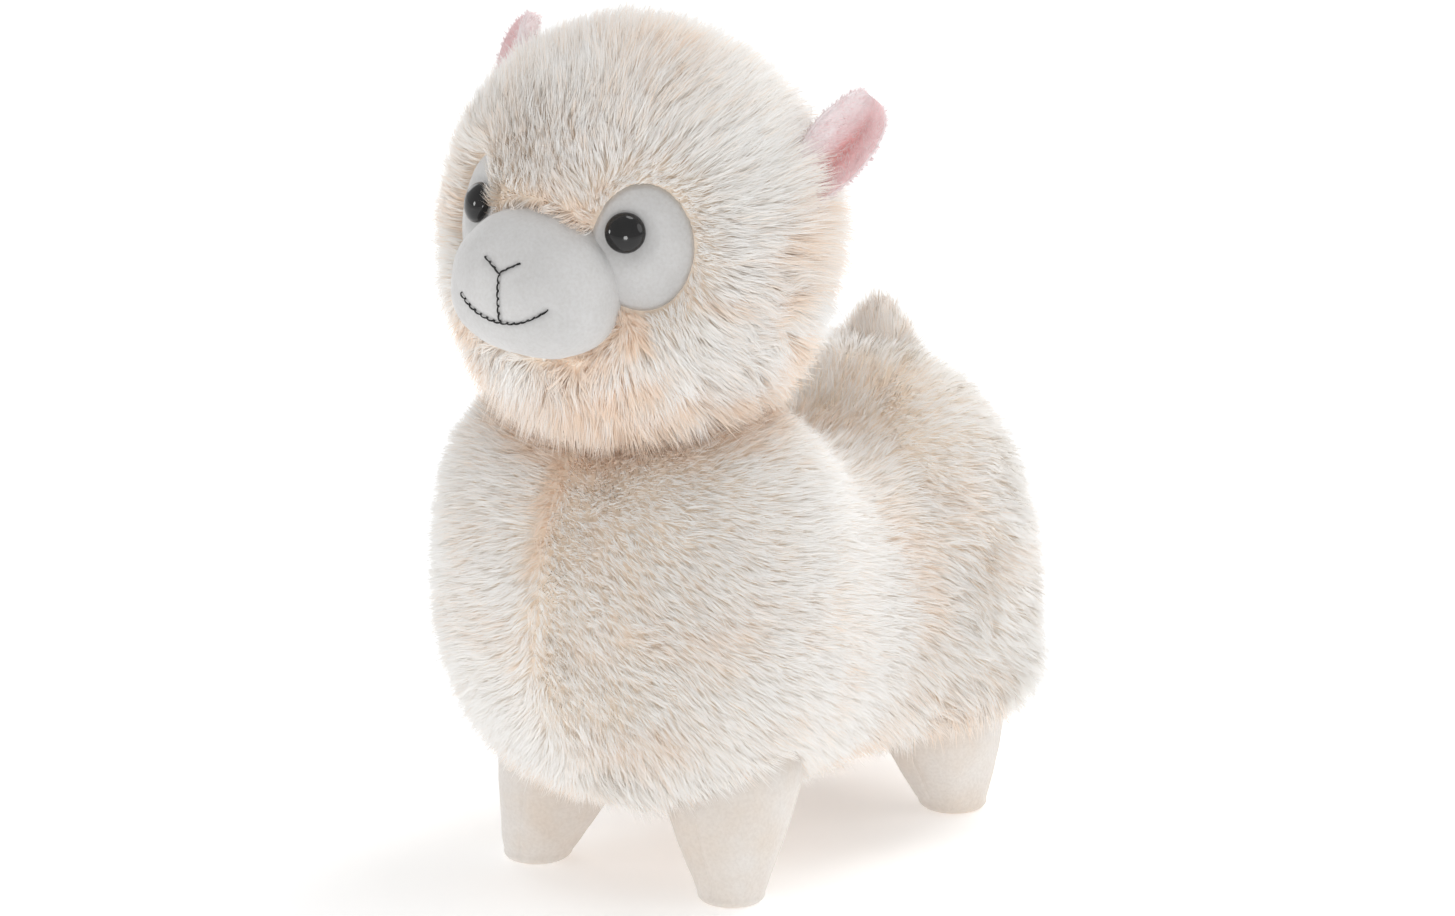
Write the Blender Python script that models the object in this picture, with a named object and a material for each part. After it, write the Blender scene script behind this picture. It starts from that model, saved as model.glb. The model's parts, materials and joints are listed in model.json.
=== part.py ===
"""Plush llama: a sewn and stuffed standing toy with a furry body and a velour face.

Metres, +Z up. The toy faces -Y, and its left side is +X. The origin is on the surface that it
stands on, under the middle of its bounding box. Furry pieces are drawn to their mean pile surface.
"""
import math

import bmesh
import bpy
from mathutils import Matrix, Vector

# Clearance between neighbouring pieces
GAP = 0.0003

# Feet, from sole middle to sole middle
LEG_SPREAD = 0.073
LEG_BASE = 0.115

# Legs: a stubby cone on a flat sole, with a domed top that is sewn into the belly
SOLE_RADIUS = 0.0072
SOLE_EDGE = 0.0035
LEG_RADIUS = 0.0218
LEG_WIDEST_Z = 0.036
LEG_TOP_Z = 0.054
# How far a leg's widest place is inward of its sole, and behind it
FRONT_LEAN = Vector((0.0066, 0.0085))
HIND_LEAN = Vector((0.0040, -0.0050))

# Torso: a chest and a rump that a waist joins; lengths along Y are from the front feet
CHEST_Y = 0.008
CHEST_FRONT = 0.056
CHEST_WIDTH = 0.132
CHEST_WIDEST_Z = 0.095
CHEST_TOP_Z = 0.162
WAIST_Y = 0.066
WAIST_WIDTH = 0.108
WAIST_WIDEST_Z = 0.073
WAIST_TOP_Z = 0.127
RUMP_Y = 0.110
RUMP_REAR = 0.166
RUMP_WIDTH = 0.123
RUMP_WIDEST_Z = 0.049
RUMP_TOP_Z = 0.144
BELLY_Z = 0.0245

# How square the torso's sections are: 2 is an ellipse
CHEST_CURVE_ABOVE = 3.0
CHEST_CURVE_BELOW = 2.4
RUMP_CURVE_ABOVE = 2.7
RUMP_CURVE_BELOW = 3.0

# Head: an egg just behind the front feet's middle and over the chest's top, to the pile surface
HEAD_Y = 0.0016
HEAD_RISE = 0.041
HEAD_RADII = Vector((0.060, 0.059, 0.064))
PILE_DEPTH = 0.0072

# Muzzle: its middle is behind the head's front, and below the head's middle
MUZZLE_SEAT = 0.0085
MUZZLE_DOWN = 0.0028
MUZZLE_RADII = Vector((0.0272, 0.0200, 0.0225))
# How square it is, where 2 is an ellipse, and how much narrower its top is than its middle
MUZZLE_CURVE = 2.2
MUZZLE_TAPER = 0.14

# Eye patches: oval velour panels that lie under the pile, sunk a little into the cover
PATCH_BESIDE_MUZZLE = 0.0048
PATCH_BELOW_MUZZLE_TOP = 0.0096
PATCH_SINK = 0.0008
PATCH_HALF_WIDTH = 0.0165
PATCH_HALF_HEIGHT = 0.0207
PATCH_THICKNESS = 0.0016

# Eyes: a plastic dome on a shank, which a washer locks behind the patch
EYE_INWARD = 0.0050
EYE_ABOVE = 0.0049
EYE_RADIUS = 0.0062
EYE_RIM = 0.0011
EYE_DOME = 0.0040
SHANK_RADIUS = 0.0020
SHANK_CORE_RADIUS = 0.0016
SHANK_LENGTH = 0.0110
SHANK_RIBS = 4
WASHER_RADIUS = 0.0066
WASHER_THICKNESS = 0.0012
HUB_RADIUS = 0.0034
HUB_HEIGHT = 0.0022
WASHER_SLOTS = 6
SLOT_REACH = 0.0048
SLOT_WIDTH = 0.0007

# Ears: a cupped leaf of two layers, whose root is sunk below the head cover
EAR_DIRECTION = Vector((0.0503, 0.0063, 0.0147))
EAR_SEAT = 0.0010
EAR_AXIS = Vector((0.28, 0.62, 0.66))
EAR_OPEN_SIDE = Vector((0.62, -0.62, 0.15))
EAR_LENGTH = 0.044
EAR_HALF_WIDTH = 0.0100
EAR_ROOT_SHARE = 0.55
EAR_CUP_ANGLE = math.radians(68)
EAR_BACK_THICKNESS = 0.0020
EAR_LINING_THICKNESS = 0.0012

# Tail: a short tuft on top of the rump, behind its highest place
TAIL_BEHIND = 0.014
TAIL_RADIUS = 0.0090
TAIL_LENGTH = 0.022
TAIL_SEAT = 0.0190
TAIL_LEAN = math.radians(14)

# Face stitching: places on the muzzle, across and up from the muzzle's middle
THREAD_RADIUS = 0.0005
NOSE_HALF_WIDTH = 0.0067
NOSE_TOP = 0.0110
NOSE_POINT = 0.0070
SMILE_HALF_WIDTH = 0.0163
SMILE_END = -0.0025
SMILE_LOWEST = -0.0087

# Colours, as linear red, green and blue
FUR_CREAM = (0.80, 0.75, 0.66, 1.0)
VELOUR_WHITE = (0.80, 0.80, 0.80, 1.0)
VELOUR_CREAM = (0.82, 0.75, 0.65, 1.0)
EAR_PALE = (0.80, 0.62, 0.62, 1.0)
EAR_PINK = (0.75, 0.38, 0.38, 1.0)
BLACK = (0.006, 0.006, 0.006, 1.0)
WHITE_PLASTIC = (0.75, 0.75, 0.72, 1.0)

MUZZLE_FORWARD = HEAD_RADII.y - MUZZLE_SEAT
MUZZLE_FRONT = MUZZLE_FORWARD - HEAD_Y + MUZZLE_RADII.y + GAP + 2 * THREAD_RADIUS
MIDDLE_Y = (RUMP_REAR - MUZZLE_FRONT) / 2
HEAD_MIDDLE = Vector((0, HEAD_Y - MIDDLE_Y, CHEST_TOP_Z + HEAD_RISE))
MUZZLE_MIDDLE = HEAD_MIDDLE + Vector((0, -MUZZLE_FORWARD, -MUZZLE_DOWN))
PATCH_ACROSS = MUZZLE_RADII.x + PATCH_BESIDE_MUZZLE
PATCH_UP = MUZZLE_RADII.z - MUZZLE_DOWN - PATCH_BELOW_MUZZLE_TOP
SIDES = {"left": 1, "right": -1}


def remove_all_objects():
    for old in list(bpy.data.objects):
        bpy.data.objects.remove(old)


def make_material(name, colour, roughness):
    material = bpy.data.materials.new(name)
    material.use_nodes = True
    shader = material.node_tree.nodes["Principled BSDF"]
    shader.inputs["Base Color"].default_value = colour
    shader.inputs["Roughness"].default_value = roughness
    shader.inputs["Metallic"].default_value = 0.0
    return material


def add_object(name, data, material=None):
    """Links an object; one without a material is a cutter, which is only a guide."""
    piece = bpy.data.objects.new(name, data)
    bpy.context.scene.collection.objects.link(piece)
    if material:
        data.materials.append(material)
    else:
        piece.hide_render = True
        piece.display_type = "WIRE"
    return piece


def skin(name, rings, material=None, poles=(None, None), around=False):
    """One closed body through rings of as many points each.

    A pole closes an end in a point, and an end without one is closed by its ring's own face.
    With around, the last ring meets the first and the body is a ring itself.
    """
    mesh = bpy.data.meshes.new(name)
    build = bmesh.new()
    rows = [[build.verts.new(point) for point in ring] for ring in rings]
    count = len(rows[0])
    pairs = list(zip(rows, rows[1:]))
    if around:
        pairs.append((rows[-1], rows[0]))
    for low, high in pairs:
        for i in range(count):
            j = (i + 1) % count
            build.faces.new((low[i], low[j], high[j], high[i]))
    for row, pole in zip((rows[0], rows[-1]), poles):
        if around:
            break
        if pole is None:
            build.faces.new(row)
            continue
        tip = build.verts.new(pole)
        for i in range(count):
            build.faces.new((row[i], row[(i + 1) % count], tip))
    bmesh.ops.recalc_face_normals(build, faces=build.faces)
    build.to_mesh(mesh)
    build.free()
    mesh.shade_smooth()
    mesh.set_sharp_from_angle(angle=math.radians(40))
    return add_object(name, mesh, material)


def cut(piece, cutter):
    """Cuts the piece by a cutter, which keeps the clearance."""
    modifier = piece.modifiers.new("cut by " + cutter.name, "BOOLEAN")
    modifier.operation = "DIFFERENCE"
    modifier.solver = "EXACT"
    modifier.object = cutter


def circle(radius, height, segments):
    turns = [2 * math.pi * i / segments for i in range(segments)]
    return [Vector((radius * math.cos(a), radius * math.sin(a), height)) for a in turns]


def turned(name, profile, frame, material=None, segments=20, around=False):
    """Turns a profile of (radius, height) about the frame's Z; zero radius at an end is a pole."""
    poles = [None, None]
    if not around:
        for end in (0, -1):
            if profile[end][0] == 0:
                poles[end] = frame @ Vector((0, 0, profile[end][1]))
        profile = [point for point in profile if point[0] > 0]
    rings = [[frame @ p for p in circle(r, h, segments)] for r, h in profile]
    return skin(name, rings, material, poles, around)


def squared(place, curve, taper):
    """A point of the unit ball moved out to a squarer one, which the taper narrows towards its top."""
    size = sum(abs(value) ** curve for value in place) ** (-1 / curve)
    place = place * size
    return Vector((place.x * (1 - taper * place.z), place.y, place.z))


def egg(name, middle, radii, material=None, segments=36, rows=20, curve=2.0, taper=0.0):
    """An ellipsoid of rings round Z, or a squarer and tapered one."""
    rings = []
    for row in range(1, rows):
        angle = -math.pi / 2 + math.pi * row / rows
        ring = circle(math.cos(angle), math.sin(angle), segments)
        rings.append([middle + squared(p, curve, taper) * radii for p in ring])
    up = Vector((0, 0, radii.z))
    return skin(name, rings, material, (middle - up, middle + up))


def ease(share):
    return share * share * (3 - 2 * share)


def blend(first, second, share):
    return [a + (b - a) * share for a, b in zip(first, second)]


def torso_section(y):
    """Half width, widest height, bottom, top and the two curve values of the section at y."""
    chest = [CHEST_WIDTH / 2, CHEST_WIDEST_Z, BELLY_Z, CHEST_TOP_Z, CHEST_CURVE_ABOVE, CHEST_CURVE_BELOW]
    rump = [RUMP_WIDTH / 2, RUMP_WIDEST_Z, BELLY_Z, RUMP_TOP_Z, RUMP_CURVE_ABOVE, RUMP_CURVE_BELOW]
    curves = blend(chest[4:], rump[4:], 0.5)
    waist = [WAIST_WIDTH / 2, WAIST_WIDEST_Z, BELLY_Z, WAIST_TOP_Z] + curves
    if y <= CHEST_Y:
        return chest
    if y <= WAIST_Y:
        return blend(chest, waist, ease((y - CHEST_Y) / (WAIST_Y - CHEST_Y)))
    if y <= RUMP_Y:
        return blend(waist, rump, ease((y - WAIST_Y) / (RUMP_Y - WAIST_Y)))
    return rump


def torso_ring(y, shrink, points=32):
    """The torso's outline at y, shrunk towards its widest height near either end."""
    half, widest, bottom, top, above, below = torso_section(y)
    ring = []
    for i in range(points):
        angle = 2 * math.pi * i / points
        across, up = math.sin(angle), -math.cos(angle)
        curve = above if up > 0 else below
        reach = (top - widest) if up > 0 else (widest - bottom)
        size = (abs(across) ** curve + abs(up) ** curve) ** (-1 / curve)
        x = half * across * size * shrink
        z = widest + reach * up * size * shrink
        ring.append(Vector((x, y - MIDDLE_Y, z)))
    return ring


def make_torso(material):
    end_rows = 7
    middle_rows = 12
    rings = []
    for row in range(1, end_rows):
        angle = math.pi / 2 * row / end_rows
        y = CHEST_Y - (CHEST_Y + CHEST_FRONT) * math.cos(angle)
        rings.append(torso_ring(y, math.sin(angle)))
    for row in range(middle_rows + 1):
        rings.append(torso_ring(CHEST_Y + (RUMP_Y - CHEST_Y) * row / middle_rows, 1))
    for row in range(end_rows - 1, 0, -1):
        angle = math.pi / 2 * row / end_rows
        y = RUMP_Y + (RUMP_REAR - RUMP_Y) * math.cos(angle)
        rings.append(torso_ring(y, math.sin(angle)))
    front = Vector((0, -CHEST_FRONT - MIDDLE_Y, CHEST_WIDEST_Z))
    rear = Vector((0, RUMP_REAR - MIDDLE_Y, RUMP_WIDEST_Z))
    return skin("torso", rings, material, (front, rear))


def leg_profile(grow):
    """(radius, height) from the sole's middle up; grow is the clearance that a cutter adds."""
    edge = [(SOLE_RADIUS + SOLE_EDGE * math.sin(a), SOLE_EDGE * (1 - math.cos(a)))
            for a in (math.radians(30 * i) for i in range(4))]
    side_rows = 4
    side = []
    for row in range(1, side_rows + 1):
        share = row / side_rows
        radius = SOLE_RADIUS + SOLE_EDGE + (LEG_RADIUS - SOLE_RADIUS - SOLE_EDGE) * share
        side.append((radius, SOLE_EDGE + (LEG_WIDEST_Z - SOLE_EDGE) * share))
    dome_rows = 6
    dome = []
    for row in range(1, dome_rows + 1):
        angle = math.pi / 2 * row / dome_rows
        height = LEG_WIDEST_Z + (LEG_TOP_Z - LEG_WIDEST_Z) * math.sin(angle)
        dome.append((LEG_RADIUS * math.cos(angle) if row < dome_rows else 0, height))
    return [(r + grow if r else 0, h + grow if h > LEG_WIDEST_Z else h) for r, h in edge + side + dome]


def make_leg(name, side, y, lean, material=None, grow=0.0):
    """A leg that leans towards the middle of the body as it rises."""
    rings = []
    profile = leg_profile(grow)
    for radius, height in profile:
        share = min(height / LEG_WIDEST_Z, 1)
        middle = Vector((side * (LEG_SPREAD / 2 - lean.x * share), y + lean.y * share - MIDDLE_Y, 0))
        rings.append([middle + p for p in circle(radius, height, 24)])
    top = rings.pop()[0]
    return skin(name, rings, material, (None, top))


def make_legs(torso, material):
    for place, y, lean in (("front", 0.0, FRONT_LEAN), ("hind", LEG_BASE, HIND_LEAN)):
        for side_name, side in SIDES.items():
            name = "leg_" + place + "_" + side_name
            make_leg(name, side, y, lean, material)
            cut(torso, make_leg("cutter_" + name, side, y, lean, grow=GAP))


def make_tail(torso, material):
    """A teardrop tuft, seated in the rump's top."""
    foot = Vector((0, RUMP_Y + TAIL_BEHIND - MIDDLE_Y, RUMP_TOP_Z - TAIL_SEAT))
    frame = Matrix.Translation(foot) @ Matrix.Rotation(-TAIL_LEAN, 4, "X")
    rows = 8
    for name, grow, finish in (("tail", 0.0, material), ("cutter_tail", GAP, None)):
        profile = [(0, -grow)]
        for row in range(1, rows):
            share = row / rows
            radius = TAIL_RADIUS * math.sin(math.pi * share ** 0.8) ** 0.7
            profile.append((radius + grow, TAIL_LENGTH * share))
        profile.append((0, TAIL_LENGTH + grow))
        tail = turned(name, profile, frame, finish)
    cut(torso, tail)


def cover_radii():
    return HEAD_RADII - Vector((PILE_DEPTH, PILE_DEPTH, PILE_DEPTH))


def cover_point(direction, lift=0.0):
    """A point on the head cover's own surface, under the pile, lifted away from the head's middle."""
    unit = direction.normalized()
    reach = 1 / Vector([u / r for u, r in zip(unit, cover_radii())]).length
    return HEAD_MIDDLE + unit * (reach + lift)


def face_direction(across, up):
    """From the head's middle to the place on the cover's front that is so far across and up."""
    radii = cover_radii()
    depth = math.sqrt(1 - (across / radii.x) ** 2 - (up / radii.z) ** 2)
    return Vector((across, -radii.y * depth, up))


def mirrored(vector, side):
    return Vector((side * vector.x, vector.y, vector.z))


def patch_ring(side, share, grow, lift, segments=24):
    """An oval ring of an eye patch on the head; share is its size from middle to rim."""
    centre = face_direction(side * PATCH_ACROSS, PATCH_UP)
    across = Vector((0, 0, 1)).cross(centre).normalized()
    up = centre.cross(across).normalized()
    ring = []
    for i in range(segments):
        angle = 2 * math.pi * i / segments
        step = across * ((PATCH_HALF_WIDTH + grow) * share * math.cos(angle))
        step += up * ((PATCH_HALF_HEIGHT + grow) * share * math.sin(angle))
        ring.append(cover_point(centre + step, lift))
    return ring


def make_patch(name, side, material=None, grow=0.0, outer=-PATCH_SINK):
    """A curved oval panel; a cutter grows by the clearance and reaches out through the pile."""
    inner = -PATCH_SINK - PATCH_THICKNESS - grow
    shares = (0.25, 0.5, 0.75, 1.0)
    rings = [patch_ring(side, share, grow, outer) for share in shares]
    rings += [patch_ring(side, share, grow, inner) for share in reversed(shares)]
    centre = face_direction(side * PATCH_ACROSS, PATCH_UP)
    return skin(name, rings, material, (cover_point(centre, outer), cover_point(centre, inner)))


def eye_frame(side):
    """Z runs out of the head through the eye's middle, from the patch's surface."""
    direction = face_direction(side * (PATCH_ACROSS - EYE_INWARD), PATCH_UP + EYE_ABOVE)
    turn = direction.to_track_quat("Z", "Y").to_matrix().to_4x4()
    return Matrix.Translation(cover_point(direction, -PATCH_SINK)) @ turn


def eye_profile():
    """The dome, its flat back on the patch, and a shank with ribs that grip the washer."""
    profile = [(0, -SHANK_LENGTH), (SHANK_CORE_RADIUS, -SHANK_LENGTH)]
    ribbed = SHANK_LENGTH - PATCH_THICKNESS
    for rib in range(SHANK_RIBS):
        foot = ribbed * rib / SHANK_RIBS - SHANK_LENGTH
        shoulder = foot + ribbed / SHANK_RIBS * 0.8
        profile.append((SHANK_RADIUS, shoulder))
        profile.append((SHANK_CORE_RADIUS, shoulder + ribbed / SHANK_RIBS * 0.2))
    profile += [(SHANK_CORE_RADIUS, GAP), (EYE_RADIUS, GAP)]
    rows = 7
    for row in range(rows + 1):
        angle = math.pi / 2 * row / rows
        radius = EYE_RADIUS * math.cos(angle) if row < rows else 0
        profile.append((radius, EYE_RIM + EYE_DOME * math.sin(angle)))
    return profile


def washer_top():
    """The washer is flat and the patch is curved, so it lies lower than the patch by that curve."""
    curve = WASHER_RADIUS ** 2 / (2 * min(HEAD_RADII))
    return -PATCH_THICKNESS - curve - 2 * GAP


def washer_profile():
    top = washer_top()
    bore = SHANK_RADIUS + GAP
    foot = top - HUB_HEIGHT
    flange = top - WASHER_THICKNESS
    return [(bore, top), (WASHER_RADIUS, top), (WASHER_RADIUS, flange),
            (HUB_RADIUS, flange), (HUB_RADIUS, foot), (bore, foot)]


def pocket_profile():
    """The hollow behind the patch that holds the washer, its hub and the shank's end."""
    foot = washer_top() - HUB_HEIGHT - GAP
    flange = washer_top() - WASHER_THICKNESS - GAP
    end = -SHANK_LENGTH - GAP
    bore = SHANK_RADIUS + GAP
    return [(0, end), (bore, end), (bore, foot), (HUB_RADIUS + GAP, foot), (HUB_RADIUS + GAP, flange),
            (WASHER_RADIUS + GAP, flange), (WASHER_RADIUS + GAP, 0), (0, 0)]


def slot_outline(height):
    """A star whose arms are the washer's slots; its waist lies within the bore."""
    outline = []
    for arm in range(WASHER_SLOTS):
        turn = 2 * math.pi * arm / WASHER_SLOTS
        out = Vector((math.cos(turn), math.sin(turn), 0))
        across = Vector((-out.y, out.x, 0)) * (SLOT_WIDTH / 2)
        waist = out * (SHANK_RADIUS * 0.9)
        reach = out * SLOT_REACH
        outline += [waist - across, reach - across, reach + across, waist + across]
    return [point + Vector((0, 0, height)) for point in outline]


def make_washer(side_name, frame, material):
    """A locking washer: a flat ring and a hub, slit from the bore into springy teeth."""
    name = "eye_washer_" + side_name
    washer = turned(name, washer_profile(), frame, material, around=True)
    ends = (washer_top() - HUB_HEIGHT - GAP, washer_top() + GAP)
    star = [[frame @ point for point in slot_outline(height)] for height in ends]
    cut(washer, skin("cutter_slots_" + side_name, star))


def make_eye(side_name, side, head, patch, materials):
    frame = eye_frame(side)
    turned("eye_" + side_name, eye_profile(), frame, materials["eye"])
    make_washer(side_name, frame, materials["washer"])
    cut(head, turned("cutter_pocket_" + side_name, pocket_profile(), frame))
    bore = [(0, -SHANK_LENGTH), (SHANK_RADIUS + GAP, -SHANK_LENGTH), (SHANK_RADIUS + GAP, EYE_RIM), (0, EYE_RIM)]
    cut(patch, turned("cutter_shank_" + side_name, bore, frame))


def make_face(head, materials):
    """The muzzle, the eye patches beside it and the eyes, each seated in the head."""
    shape = (28, 14, MUZZLE_CURVE, MUZZLE_TAPER)
    egg("muzzle", MUZZLE_MIDDLE, MUZZLE_RADII, materials["face"], *shape)
    room = MUZZLE_RADII + Vector((GAP, GAP, GAP))
    muzzle_cutter = egg("cutter_muzzle", MUZZLE_MIDDLE, room, None, *shape)
    cut(head, muzzle_cutter)
    for side_name, side in SIDES.items():
        patch = make_patch("eye_patch_" + side_name, side, materials["face"])
        cut(patch, muzzle_cutter)
        cut(head, make_patch("cutter_patch_" + side_name, side, None, GAP, 2 * PILE_DEPTH))
        make_eye(side_name, side, head, patch, materials)


def ear_half_width(share):
    """The leaf's half width: narrow at its root, widest past the middle, round at its tip."""
    swell = EAR_ROOT_SHARE + (1 - EAR_ROOT_SHARE) * math.sin(math.pi / 2 * min(share / 0.6, 1))
    round_tip = math.sqrt(max(1 - max((share - 0.6) / 0.4, 0) ** 2, 0))
    return EAR_HALF_WIDTH * swell * round_tip


def make_ear_layer(name, side, inner, outer, material=None, grow=0.0):
    """A cupped leaf between two distances from the seam surface, inner below outer.

    Each section is an arc about a line on the leaf's open side, so layers stay evenly apart.
    """
    along = mirrored(EAR_AXIS, side).normalized()
    facing = mirrored(EAR_OPEN_SIDE, side)
    facing = (facing - along * facing.dot(along)).normalized()
    across = along.cross(facing)
    root = cover_point(mirrored(EAR_DIRECTION, side), -EAR_SEAT)
    rows = 12
    columns = 8
    rings = []
    for row in range(rows):
        share = row / rows
        half = ear_half_width(share)
        radius = half / math.sin(EAR_CUP_ANGLE)
        spread = EAR_CUP_ANGLE + grow / radius
        place = root + along * (EAR_LENGTH * share - (grow if row == 0 else 0)) + facing * radius
        ring = []
        for distance, way in ((outer, 1), (inner, -1)):
            for column in range(columns + 1):
                angle = way * spread * (2 * column / columns - 1)
                arm = across * math.sin(angle) - facing * math.cos(angle)
                ring.append(place + arm * (radius + distance))
        rings.append(ring)
    tip = root + along * (EAR_LENGTH + grow) - facing * (inner + outer) / 2
    return skin(name, rings, material, (None, tip))


def make_ears(head, materials):
    lining_foot = -GAP - EAR_LINING_THICKNESS
    for side_name, side in SIDES.items():
        make_ear_layer("ear_back_" + side_name, side, 0.0, EAR_BACK_THICKNESS, materials["ear_back"])
        make_ear_layer("ear_lining_" + side_name, side, lining_foot, -GAP, materials["ear_lining"])
        room = make_ear_layer("cutter_ear_" + side_name, side, lining_foot - GAP,
                              EAR_BACK_THICKNESS + GAP, None, GAP)
        cut(head, room)


def muzzle_surface(across, up):
    """A point on the front of the muzzle, lifted so that a thread there lies on the cloth."""
    radii = MUZZLE_RADII + Vector((1, 1, 1)) * (GAP + THREAD_RADIUS)
    half = radii.x * (1 - MUZZLE_TAPER * up / radii.z)
    used = abs(across / half) ** MUZZLE_CURVE + abs(up / radii.z) ** MUZZLE_CURVE
    return MUZZLE_MIDDLE + Vector((across, -radii.y * (1 - used) ** (1 / MUZZLE_CURVE), up))


def thread(name, places, material):
    """A sewn line: a round thread through places across and up the muzzle."""
    curve = bpy.data.curves.new(name, "CURVE")
    curve.dimensions = "3D"
    curve.bevel_depth = THREAD_RADIUS
    curve.bevel_resolution = 1
    curve.use_fill_caps = True
    spline = curve.splines.new("POLY")
    spline.points.add(len(places) - 1)
    for point, (across, up) in zip(spline.points, places):
        point.co = (*muzzle_surface(across, up), 1)
    return add_object(name, curve, material)


def make_stitching(material):
    """The nose's V, the line under it and the smile, with a clearance where they meet."""
    clear = 2 * THREAD_RADIUS + 2 * GAP
    arm = [(NOSE_HALF_WIDTH * i / 4, NOSE_POINT + (NOSE_TOP - NOSE_POINT) * i / 4) for i in range(5)]
    nose = [(-x, z) for x, z in reversed(arm[1:])] + arm
    thread("nose_stitching", nose, material)
    top = NOSE_POINT - clear
    foot = SMILE_LOWEST + clear
    thread("lip_stitching", [(0, top + (foot - top) * i / 4) for i in range(5)], material)
    steps = 14
    smile = []
    for i in range(steps + 1):
        share = 2 * i / steps - 1
        smile.append((SMILE_HALF_WIDTH * share, SMILE_LOWEST + (SMILE_END - SMILE_LOWEST) * share ** 2))
    thread("mouth_stitching", smile, material)


def make_materials():
    return {
        "fur": make_material("cream long pile plush", FUR_CREAM, 0.9),
        "face": make_material("white velour", VELOUR_WHITE, 0.85),
        "leg": make_material("cream velour", VELOUR_CREAM, 0.85),
        "ear_back": make_material("pale pink plush", EAR_PALE, 0.9),
        "ear_lining": make_material("pink plush", EAR_PINK, 0.9),
        "eye": make_material("black gloss plastic", BLACK, 0.06),
        "washer": make_material("white plastic", WHITE_PLASTIC, 0.4),
        "thread": make_material("black thread", BLACK, 0.6),
    }


def main():
    remove_all_objects()
    materials = make_materials()
    torso = make_torso(materials["fur"])
    head = egg("head", HEAD_MIDDLE, HEAD_RADII, materials["fur"], 32, 18)
    room = HEAD_RADII + Vector((GAP, GAP, GAP))
    cut(torso, egg("cutter_head", HEAD_MIDDLE, room, None, 32, 18))
    make_legs(torso, materials["leg"])
    make_tail(torso, materials["fur"])
    make_face(head, materials)
    make_ears(head, materials)
    make_stitching(materials["thread"])


main()
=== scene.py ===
"""Looks of the plush llama: combed pile, velour face and legs, pink ears, glossy eyes and stitching.

Metres, +Z up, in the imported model's frame: the toy faces -Y and its left side is +X.
"""
import json
import math

import bmesh
import bpy
import numpy as np
from mathutils import Matrix, Vector
from mathutils.kdtree import KDTree


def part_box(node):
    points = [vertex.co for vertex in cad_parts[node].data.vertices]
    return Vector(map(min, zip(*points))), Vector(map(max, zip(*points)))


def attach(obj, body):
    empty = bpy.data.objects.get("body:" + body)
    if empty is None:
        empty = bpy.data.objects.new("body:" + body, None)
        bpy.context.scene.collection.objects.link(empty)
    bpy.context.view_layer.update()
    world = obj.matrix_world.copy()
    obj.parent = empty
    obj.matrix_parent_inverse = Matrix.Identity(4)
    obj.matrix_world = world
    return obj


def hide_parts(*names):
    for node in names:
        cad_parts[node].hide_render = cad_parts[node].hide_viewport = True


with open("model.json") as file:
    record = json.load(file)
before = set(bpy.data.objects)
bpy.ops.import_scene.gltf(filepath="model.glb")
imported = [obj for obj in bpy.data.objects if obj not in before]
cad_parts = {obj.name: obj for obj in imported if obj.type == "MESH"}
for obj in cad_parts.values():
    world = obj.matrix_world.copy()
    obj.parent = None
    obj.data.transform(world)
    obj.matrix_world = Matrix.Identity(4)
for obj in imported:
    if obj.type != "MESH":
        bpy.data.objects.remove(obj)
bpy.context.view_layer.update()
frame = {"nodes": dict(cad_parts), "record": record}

# The photograph's frame in pixels, its scale at the toy and the place in it of the front feet's middle
PHOTO_WIDTH = 1455
PHOTO_HEIGHT = 916
METRES_PER_PIXEL = 0.00030
FEET_PIXEL = (633, 881)
CAMERA_AZIMUTH = math.radians(36.0)
CAMERA_ELEVATION = math.radians(17.1)
CAMERA_DISTANCE = 9.0
# The toy's middle is this much nearer to the camera than its front feet
TOY_NEARER = 0.055
SENSOR_WIDTH = 0.036

# The model's sizes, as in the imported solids
HEAD_RADII = np.array([0.060, 0.059, 0.064])
HEAD_PILE = 0.0072
MUZZLE_HALF_WIDTH = 0.0272
MUZZLE_CURVE = 2.2
MUZZLE_TAPER = 0.14
PATCH_ACROSS = 0.0320
PATCH_UP = 0.0101
PATCH_SINK = 0.0008
PATCH_HALF_WIDTH = 0.0165
PATCH_HALF_HEIGHT = 0.0207
# The patch's tucked rim, as a share of its oval
PATCH_RIM = 1.04
EYE_INWARD = 0.0050
EYE_ABOVE = 0.0049
EYE_RADIUS = 0.0062
EYE_RIM = 0.0011
EYE_DOME = 0.0040
EAR_DIRECTION = np.array([0.0503, 0.0063, 0.0147])
EAR_AXIS = np.array([0.28, 0.62, 0.66])
EAR_OPEN_SIDE = np.array([0.62, -0.62, 0.15])
EAR_LENGTH = 0.044
EAR_HALF_WIDTH = 0.0100
EAR_CUP = math.radians(68)
SOLE_RADIUS = 0.0072
SOLE_EDGE = 0.0035
LEG_RADIUS = 0.0218
LEG_WIDEST_Z = 0.036
LEG_TOP_Z = 0.054
LEANS = {"front": (0.0066, 0.0085), "hind": (0.0040, -0.0050)}

UP = np.array([0.0, 0.0, 1.0])
BACK = np.array([0.0, 1.0, 0.0])
SIDES = {"left": 1, "right": -1}
# The pile is so dense that only its outer part is seen, and its fibres start this far in
FUR_DEPTH = 0.0052
# How far behind the front feet the chest's pile and the waist's end
CHEST_END = 0.018
WAIST_END = 0.085
# The tail's pile starts this far above its lowest point
TAIL_FOOT = 0.006

WHITE = (1.0, 1.0, 1.0)
GREY = (0.5, 0.5, 0.5)
BLACK = (0.0, 0.0, 0.0)

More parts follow.
